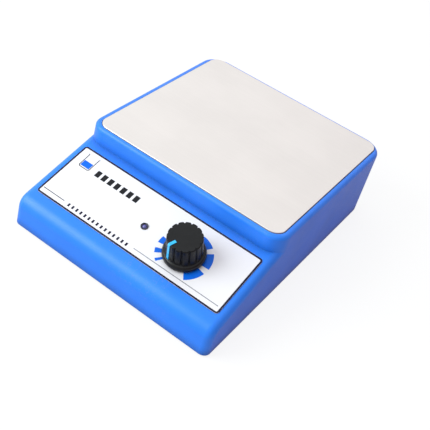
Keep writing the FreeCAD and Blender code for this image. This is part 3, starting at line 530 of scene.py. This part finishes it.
# Each slot: what it is made of, then its colour and whatever differs from the usual look.
slotLooks = {
    "case_blue": (makePlastic, caseLook),
    "cover_plastic": (makePlastic, coverLook),
    "plate_steel": (makeMetal, plateLook),
    "label_film": (makePlastic, labelLook),
    "adhesive": (makePlastic, {"colour": (0.72, 0.70, 0.62), "roughness": 0.7, "grain": 1.0}),
    "knob_black": (makePlastic, {"colour": (0.020, 0.020, 0.022), "roughness": 0.34, "grain": 0.5,
                                 "grainScale": 3200.0, "bump": 0.16, "wear": 0.30, "wearTone": 2.6,
                                 "wearReach": 0.0004, "dust": 0.03, "wave": 0.6}),
    "pointer_cyan": (makePlastic, {"colour": (0.022, 0.48, 0.90), "roughness": 0.38, "spread": 0.06,
                                   "cloudScale": 300.0, "grain": 0.7, "bump": 0.15, "wear": 0.2,
                                   "wearReach": 0.0002, "dust": 0.01}),
    "led_plastic": (makePlastic, {"colour": (0.10, 0.095, 0.34), "roughness": 0.16, "spread": 0.25,
                                  "cloudScale": 900.0, "grain": 0.2, "bump": 0.05, "wear": 0.1,
                                  "coat": 0.6, "dust": 0.01}),
    "bezel_black": (makePlastic, {"colour": (0.016, 0.016, 0.030), "roughness": 0.35, "wearTone": 3.0,
                                  "wearReach": 0.0002, "dust": 0.02}),
    "foot_rubber": (makePlastic, {"colour": (0.028, 0.028, 0.029), "roughness": 0.78, "grain": 1.0,
                                  "grainScale": 1800.0, "bump": 0.4, "dust": 0.15, "specular": 0.3}),
    "screw_steel": (makeMetal, {"colour": (0.56, 0.56, 0.58), "roughness": 0.30,
                                "stretch": (1500.0, 1500.0, 300.0)}),
    "turned_metal": (makeMetal, {"colour": (0.63, 0.62, 0.61), "roughness": 0.22,
                                 "stretch": (250.0, 250.0, 6000.0)}),
    "pot_case": (makeMetal, {"colour": (0.58, 0.57, 0.54), "roughness": 0.38, "spread": 0.10}),
    "lead_metal": (makeMetal, {"colour": (0.72, 0.71, 0.70), "roughness": 0.34,
                               "stretch": (3000.0, 3000.0, 300.0)}),
    "board_green": (makePlastic, {"colour": (0.018, 0.15, 0.055), "roughness": 0.24, "spread": 0.22,
                                  "cloudScale": 140.0, "grain": 0.4, "coat": 0.3}),
    "chip_black": (makePlastic, {"colour": (0.022, 0.022, 0.024), "roughness": 0.62, "grain": 1.0,
                                 "grainScale": 5000.0}),
    "capacitor_sleeve": (makePlastic, {"colour": (0.022, 0.024, 0.075), "roughness": 0.22, "spread": 0.15,
                                       "coat": 0.3}),
    "header_white": (makePlastic, {"colour": (0.82, 0.80, 0.72), "roughness": 0.42, "spread": 0.05}),
    "motor_steel": (makeMetal, {"colour": (0.60, 0.60, 0.60), "roughness": 0.36,
                                "stretch": (300.0, 300.0, 3500.0)}),
    "motor_plastic": (makePlastic, {"colour": (0.040, 0.040, 0.042), "roughness": 0.50, "grain": 0.8}),
    "magnet_dark": (makePlastic, {"colour": (0.090, 0.090, 0.096), "roughness": 0.68, "grain": 1.0,
                                  "spread": 0.18}),
    "magnet_nickel": (makeMetal, {"colour": (0.74, 0.73, 0.70), "roughness": 0.14, "lines": 0.04}),
    "bearing_bronze": (makeMetal, {"colour": (0.56, 0.38, 0.18), "roughness": 0.42, "spread": 0.14}),
    "brush_carbon": (makePlastic, {"colour": (0.035, 0.035, 0.036), "roughness": 0.72, "grain": 1.0,
                                   "spread": 0.2}),
    "copper": (makeMetal, {"colour": (0.72, 0.36, 0.20), "roughness": 0.30,
                           "stretch": (3000.0, 3000.0, 120.0), "lines": 0.35}),
    "carrier_plastic": (makePlastic, {"colour": (0.78, 0.78, 0.75), "roughness": 0.46, "spread": 0.04}),
    "jack_plastic": (makePlastic, {"colour": (0.020, 0.020, 0.021), "roughness": 0.44, "wearTone": 3.0,
                                   "dust": 0.05}),
    "wire_red_black": (makePlastic, {"colour": (0.50, 0.022, 0.020), **wireLook}),
}


def coverNode(nodeName, material):
    mesh = nodes[nodeName].data
    mesh.materials.clear()
    mesh.materials.append(material)


slotMaterials = {slotName: make(slotName, **look) for slotName, (make, look) in slotLooks.items()}
for entry in record["subparts"]:
    coverNode(entry["node"], slotMaterials[entry["material_slot"]])
for nodeName, colour in wireColours.items():
    coverNode(nodeName, makePlastic(nodeName, colour, **wireLook))
print("materials on", len(record["subparts"]), "nodes")


knobJoint = next(joint for joint in record["behaviour"]["joints"] if joint["name"] == "knob_turn")
panelNormal = -Vector(knobJoint["axis"]).normalized()
panelRight = Vector((1, 0, 0))
panelUp = panelNormal.cross(panelRight)
knobPlace = np.array(knobJoint["pos_m"])
panelAxes = np.array([panelRight, panelUp, panelNormal])


def onPanel(points):
    # Points are (right, up the slope, out of the label) in metres from where the knob's axis meets the label.
    return knobPlace + np.asarray(points) @ panelAxes


def addSurface(name, points, faces, material, body, smooth=True):
    # The signed volume says which way the faces turn; they are reversed if they face inwards.
    faces = [np.asarray(face) for face in faces]
    volume = sum(np.einsum("ij,ij->i", points[face[:, 0]],
                           np.cross(points[face[:, step]], points[face[:, step + 1]])).sum()
                 for face in faces for step in range(1, face.shape[1] - 1))
    if volume < 0:
        faces = [face[:, ::-1] for face in faces]
    mesh = bpy.data.meshes.new(name)
    mesh.from_pydata(points.tolist(), [], [corner for face in faces for corner in face.tolist()])
    mesh.polygons.foreach_set("use_smooth", np.full(len(mesh.polygons), smooth))
    mesh.update()
    mesh.materials.append(material)
    piece = bpy.data.objects.new(name, mesh)
    bpy.context.scene.collection.objects.link(piece)
    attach(piece, body)
    return piece


# The label's box gives its size along the slope, because its thickness is the only other part of the box.
labelLow, labelHigh = (np.array(corner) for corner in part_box("control_label"))
labelSize = labelHigh - labelLow
labelLength = ((labelSize[1] * panelUp.y - labelSize[2] * panelUp.z)
               / (panelUp.y ** 2 - panelUp.z ** 2))
labelFront = (labelLow[1] - knobPlace[1]) / panelUp.y

inkLook = {
    "roughness": 0.34,
    "spread": 0.05,
    "cloudScale": 250.0,
    "grainScale": 4200.0,
    "grain": 0.4,
    "bump": 0.05,
    "wear": 0.0,
    "dust": 0.0,
    "specular": 0.22,
}

printLook = {
    "thick": 0.03,  # this and the lengths that follow are in millimetres
    "border": 1.0,
    "borderInset": 0.03,
    "cornerRadius": 1.8,
    "cornerSteps": 10,
    "ruleUp": 4.0,  # above the label's front edge
    "ruleWidth": 0.45,
    "ruleInkLeft": "navy",
    "ruleInkRight": "grey",
    "ruleLeft": (-58.4, -43.6),
    "ruleRight": (4.2, 57.6),
    "dashes": 15,
    "dashSpan": (-41.2, 1.2),
    "dashWide": 1.1872,
    "dashTall": 2.1,
    "dashUp": 3.5,
    "bars": 7,
    "barSpan": (-43.6, -12.4),
    "barWide": 2.9,
    "barTall": 4.3,
    "barUp": 28.8,
    "beakerPlace": (-50.8, 27.0),
    "beakerWide": 7.0,
    "beakerTall": 9.6,
    "beakerLine": 0.45,
    "beakerLip": (0.45, 0.1),  # out from the wall, and above the rim
    "beakerNeck": 0.4,
    "beakerCorner": 0.7,
    "liquidInset": 0.5,
    "liquidUp": 0.30,  # a share of the beaker's height
    "liquidTall": 0.42,
    "navy": (0.012, 0.010, 0.032),
    "grey": (0.26, 0.26, 0.30),
    "black": (0.010, 0.010, 0.013),
    "blue": (0.001, 0.135, 0.76),
}


def printPath(name, path, width, material, closed=False):
    # A flat band that follows a path: each edge is the path moved half the width along the mitred
    # normal, and the band has the print's thickness.
    sharpest = 0.4  # keeps a mitre from running far out at a sharp corner
    path = np.asarray(path, dtype=float)
    if closed:
        runs = np.roll(path, -1, axis=0) - path
        before = np.roll(runs, 1, axis=0)
    else:
        runs = np.vstack([path[1:] - path[:-1], path[-1:] - path[-2:-1]])
        before = np.vstack([runs[:1], runs[:-1]])
    ahead = runs / np.linalg.norm(runs, axis=1, keepdims=True)
    behind = before / np.linalg.norm(before, axis=1, keepdims=True)
    side = np.stack([-(ahead + behind)[:, 1], (ahead + behind)[:, 0]], axis=1)
    side /= np.linalg.norm(side, axis=1, keepdims=True)
    mitre = (side * np.stack([-ahead[:, 1], ahead[:, 0]], axis=1)).sum(1)
    reach = width / 2 / np.clip(mitre, sharpest, 1)
    left, right = path + side * reach[:, None], path - side * reach[:, None]
    top, foot = np.full((len(path), 1), printLook["thick"]), np.zeros((len(path), 1))
    rings = np.stack([np.hstack([left, top]), np.hstack([right, top]),
                      np.hstack([right, foot]), np.hstack([left, foot])], axis=1)
    count = len(path)
    steps = np.arange(count if closed else count - 1)
    following = (steps + 1) % count
    walls = np.concatenate([np.stack([steps * 4 + corner, steps * 4 + (corner + 1) % 4,
                                      following * 4 + (corner + 1) % 4, following * 4 + corner], axis=1)
                            for corner in range(4)])
    faces = [walls]
    if not closed:
        faces.append(np.array([[3, 2, 1, 0], [count * 4 - 4, count * 4 - 3, count * 4 - 2, count * 4 - 1]]))
    return addSurface(name, onPanel(rings.reshape(-1, 3) * mm), faces, material, "case",
                      smooth=False)


def roundedLoop(left, right, front, back, radius, steps):
    # Quarter circles about the four corner centres, one after the other.
    turns = np.linspace(0, math.pi / 2, steps)
    centres = ((right - radius, back - radius), (left + radius, back - radius),
               (left + radius, front + radius), (right - radius, front + radius))
    return np.concatenate([np.stack([x + radius * np.cos(turns + quarter * math.pi / 2),
                                     y + radius * np.sin(turns + quarter * math.pi / 2)], axis=1)
                           for quarter, (x, y) in enumerate(centres)])


def fromCase(x):
    # millimetres right of the case's middle, counted from the knob's axis instead
    return x - knobPlace[0] / mm


def fromFront(up):
    # millimetres up from the label's front edge, counted from the knob's axis instead
    return labelFront / mm + up


def printRow(name, count, span, wide, tall, up, ink):
    # Upright strokes at an even pitch across the span.
    pitch = (span[1] - span[0]) / count
    middle = fromFront(up)
    for number in range(count):
        x = fromCase(span[0] + (number + 0.5) * pitch)
        printPath(f"{name}{number}", [(x, middle - tall / 2), (x, middle + tall / 2)], wide, ink)


def printBeaker(look, line, liquid):
    # Lip, wall, base, wall and lip in one line, and a broad band inside for the liquid.
    x, up = fromCase(look["beakerPlace"][0]), fromFront(look["beakerPlace"][1])
    half, tall = look["beakerWide"] / 2, look["beakerTall"]
    out, above = look["beakerLip"]
    neck, corner = look["beakerNeck"], look["beakerCorner"]
    printPath("labelBeaker", [(x - half - out, up + tall + above), (x - half, up + tall - neck),
                              (x - half, up + corner), (x - half + corner, up),
                              (x + half - corner, up), (x + half, up + corner),
                              (x + half, up + tall - neck), (x + half + out, up + tall + above)],
              look["beakerLine"], line)
    level = up + tall * look["liquidUp"]
    inside = half - look["liquidInset"]
    printPath("labelLiquid", [(x - inside, level), (x + inside, level)], tall * look["liquidTall"], liquid)


def printLabel(look):
    inks = {tone: makePlastic("ink" + tone.capitalize(), look[tone], **inkLook)
            for tone in ("navy", "grey", "black", "blue")}
    inset = look["borderInset"] + look["border"] / 2
    loop = roundedLoop(fromCase(labelLow[0] / mm + inset), fromCase(labelHigh[0] / mm - inset),
                       fromFront(inset), fromFront(labelLength / mm - inset),
                       look["cornerRadius"] - inset, look["cornerSteps"])
    printPath("labelBorder", loop, look["border"], inks["navy"], closed=True)
    for side in ("Left", "Right"):
        start, end = look["rule" + side]
        printPath("labelRule" + side, [(fromCase(start), fromFront(look["ruleUp"])),
                                       (fromCase(end), fromFront(look["ruleUp"]))],
                  look["ruleWidth"], inks[look["ruleInk" + side]])
    printRow("labelDash", look["dashes"], look["dashSpan"], look["dashWide"], look["dashTall"],
             look["dashUp"], inks["navy"])
    printRow("labelBar", look["bars"], look["barSpan"], look["barWide"], look["barTall"],
             look["barUp"], inks["black"])
    printBeaker(look, inks["black"], inks["blue"])


dialLook = {
    "outer": 15.25,  # millimetres
    "inner": 11.0,  # under the knob's flange
    "start": -125.6,  # degrees from the panel's right, going clockwise
    "firstWidth": 7.0,
    "growth": 5.1,
    "gap": 12.83,
    "blocks": 8,
    "stepsPerDegree": 1.0,
}


def printDial(look):
    ink = makePlastic("inkDial", printLook["blue"], **inkLook)
    radius = (look["outer"] + look["inner"]) / 2
    turn = look["start"]
    for number in range(look["blocks"]):
        width = look["firstWidth"] + look["growth"] * number
        # A circle's arc about the knob's axis, carried as a band from the inner to the outer radius.
        angles = np.radians(np.linspace(turn, turn - width, 2 + int(width * look["stepsPerDegree"])))
        printPath(f"dialBlock{number}", np.stack([radius * np.cos(angles), radius * np.sin(angles)], axis=1),
                  look["outer"] - look["inner"], ink)
        turn -= width + look["gap"]


printLabel(printLook)
printDial(dialLook)
print("label printed")

knobFinish = {
    "side": (0.0036, 0.0032, 0.0036),
    "sideLight": 1.15,
    "top": (0.0135, 0.0135, 0.0150),
    "topFacing": (0.90, 0.99),  # how squarely a face must look out to be the top
    "roughness": 0.30,
    "topRoughness": 0.66,
    "roughnessSpread": 0.14,
    "cloudScale": 90.0,
    "grainScale": 3000.0,
    "grain": 0.8,
    "wave": 0.4,
    "bump": 0.22,
    "bumpDepth": 0.0002,
    "specular": 0.18,
    "wear": 0.35,
    "wearReach": 0.0005,
    "wearBreak": 700.0,
    "wornAndHighlightTone": (0.03, 0.03, 0.032),
    "dust": 0.006,
    "dustPatch": 160.0,
    "dustColour": (0.6, 0.6, 0.6),
    "flangeCoat": 0.3,
    "coatRoughness": 0.10,
    "coatTop": 3.9,  # millimetres above the label
    "coatFade": 0.3,
}


def makeKnobPlastic(look):
    # Matt on the flat top, glossier on the moulded side, polished on the flange.
    material, tree, shader = newMaterial("knobPlastic")
    normal = addNode(tree, "TexCoord").outputs["Normal"]
    facing = addVectorMath(tree, "DOT_PRODUCT", normal, tuple(panelNormal))
    isTop = addRange(tree, facing, *look["topFacing"], 0.0, 1.0)
    base = useSkin(tree, toned(look["side"], look["sideLight"]), opaque(look["side"]), look)
    wear = useGroup(tree, edgeWearAndHighlight, {"Reach": look["wearReach"], "Amount": look["wear"],
                                     "Break Scale": look["wearBreak"]})["Mask"]
    dust = useGroup(tree, dustVeil, {"Amount": look["dust"], "Patch Scale": look["dustPatch"]})["Mask"]
    tone = mixColour(tree, isTop, base["Colour"], opaque(look["top"]))
    tone = mixColour(tree, wear, tone, opaque(look["wornAndHighlightTone"]))
    tone = mixColour(tree, dust, tone, opaque(look["dustColour"]))
    extra = addMath(tree, "MULTIPLY", isTop, look["topRoughness"] - look["roughness"])
    rough = addMath(tree, "ADD", base["Roughness"], extra)
    finishSurface(tree, shader, tone, rough, base["Height"], look)
    # The coat ends at the flange's upper edge, by height along the knob's axis.
    height = addVectorMath(tree, "DOT_PRODUCT", objectPlace(tree), tuple(panelNormal))
    above = addMath(tree, "SUBTRACT", height, float(knobPlace @ np.array(panelNormal)))
    coat = addRange(tree, above, look["coatTop"] * mm, (look["coatTop"] + look["coatFade"]) * mm,
                    look["flangeCoat"], 0.0)
    tree.links.new(coat, shader.inputs["Coat Weight"])
    shader.inputs["Coat Roughness"].default_value = look["coatRoughness"]
    shader.inputs["Specular IOR Level"].default_value = look["specular"]
    return material


knobLook = {
    "lift": 0.6,  # lengths in millimetres up from the label
    "flange": 11.6,
    "flangeFoot": 11.1,
    "flangeTall": 3.9,
    "flangeLow": 0.75,  # where the flange's curve starts, above the underside
    "flangeSteps": 14,
    "footRound": ((0.30, 0.12), (0.08, 0.38)),  # in from the flange, and up from the underside
    "foot": 9.9,
    "footGap": 0.25,  # from the side's foot out to the flange's curve
    "top": 9.3,
    "tall": 15.5,
    "edge": 0.45,
    "sideStart": 0.06,
    "sideSteps": 30,
    "underParts": (0.4, 0.8, 1.0),  # rings, as shares of the radius
    "topParts": (0.985, 0.95, 0.9, 0.8, 0.65, 0.45, 0.2),
    "pitch": 24.0,  # degrees from one flute to the next
    "pointerAngle": -111.0,
    "fluteDepth": 0.62,
    "fluteWide": 2.6,  # degrees
    "fluteSharp": 2.6,
    "fluteStart": 4.5,
    "fluteFull": 6.3,
    "crown": 0.20,
    "pointerRidge": 5.5,  # degrees
    "pointerSharp": 4,
    "pointerCrown": 0.5,
    "columns": 480,
}


def knobProfile(look):
    # Rows of (radius, height, share of the flutes): a flat underside, a convex flange worked out as a quarter
    # ellipse, the leaning side, where the flutes open along a quarter ellipse too, a rounded upper edge and
    # the flat top.
    quarter = np.linspace(0, math.pi / 2, look["flangeSteps"])
    inner = look["foot"] + look["footGap"]
    low = look["lift"] + look["flangeLow"]
    parts = np.array(look["underParts"])
    under = np.stack([look["flangeFoot"] * parts, np.full(len(parts), look["lift"]), 0 * parts], axis=1)
    foot = np.array([[look["flange"] - inward, look["lift"] + upward, 0]
                     for inward, upward in look["footRound"]])
    flange = np.stack([inner + (look["flange"] - inner) * np.cos(quarter),
                       low + (look["flangeTall"] - low) * np.sin(quarter), 0 * quarter], axis=1)
    heights = np.linspace(look["flangeTall"] + look["sideStart"], look["tall"] - look["edge"],
                          look["sideSteps"])
    lean = (heights - look["flangeTall"]) / (look["tall"] - look["flangeTall"])
    share = np.clip((heights - look["fluteStart"]) / (look["fluteFull"] - look["fluteStart"]), 0, 1)
    side = np.stack([look["foot"] + (look["top"] - look["foot"]) * lean, heights,
                     np.sqrt(1 - (1 - share) ** 2)], axis=1)
    turn = quarter[1::3]
    edge = np.stack([look["top"] - look["edge"] * (1 - np.cos(turn)),
                     look["tall"] - look["edge"] * (1 - np.sin(turn)), np.ones(len(turn))], axis=1)
    parts = np.array(look["topParts"])
    top = np.stack([(look["top"] - look["edge"]) * parts, np.full(len(parts), look["tall"]), parts ** 3],
                   axis=1)
    return np.vstack([under, foot, flange, side, edge, top])


def fluteShape(look, angles):
    # How far the side lies in at each angle: a narrow bell at each flute, and a square law that brings each
    # ridge out towards its middle. The ridge that carries the pointer has no flute in its middle.
    turn = (angles - look["pointerAngle"] + 180) % 360 - 180
    number = np.round(turn / look["pitch"])
    off = np.abs(turn - number * look["pitch"])
    bell = np.exp(-(off / look["fluteWide"]) ** look["fluteSharp"])
    crown = (1 - off / (look["pitch"] / 2)) ** 2
    ridge = np.exp(-(off / look["pointerRidge"]) ** look["pointerSharp"])
    return np.where(number != 0, look["fluteDepth"] * bell + look["crown"] * crown,
                    look["crown"] * (1 - ridge) * look["pointerCrown"])


def makeKnob(look):
    # The profile turned about the knob's axis, each row's radius less its share of the flutes' depth.
    rows = knobProfile(look)
    angles = np.linspace(0, 360, look["columns"], endpoint=False)
    radius = rows[:, None, 0] - rows[:, None, 2] * fluteShape(look, angles)[None, :]
    turns = np.radians(angles)
    above = np.broadcast_to(rows[:, None, 1], radius.shape)
    grid = np.stack([radius * np.cos(turns), radius * np.sin(turns), above], axis=2).reshape(-1, 3)
    points = np.vstack([grid, [[0, 0, rows[0, 1]], [0, 0, rows[-1, 1]]]])
    count, columns = len(rows), look["columns"]
    step = np.arange(columns)
    following = (step + 1) % columns
    rings = np.arange(count - 1)[:, None] * columns
    quads = np.stack([rings + step, rings + following, rings + columns + following, rings + columns + step],
                     axis=2).reshape(-1, 4)
    last = (count - 1) * columns
    middle = np.full(columns, count * columns)
    underFan = np.stack([following, step, middle], axis=1)
    topFan = np.stack([last + step, last + following, middle + 1], axis=1)
    piece = addSurface("knobBody", onPanel(points * mm), [quads, underFan, topFan],
                       makeKnobPlastic(knobFinish), "knob")
    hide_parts("speed_knob")


makeKnob(knobLook)
print("knob made")
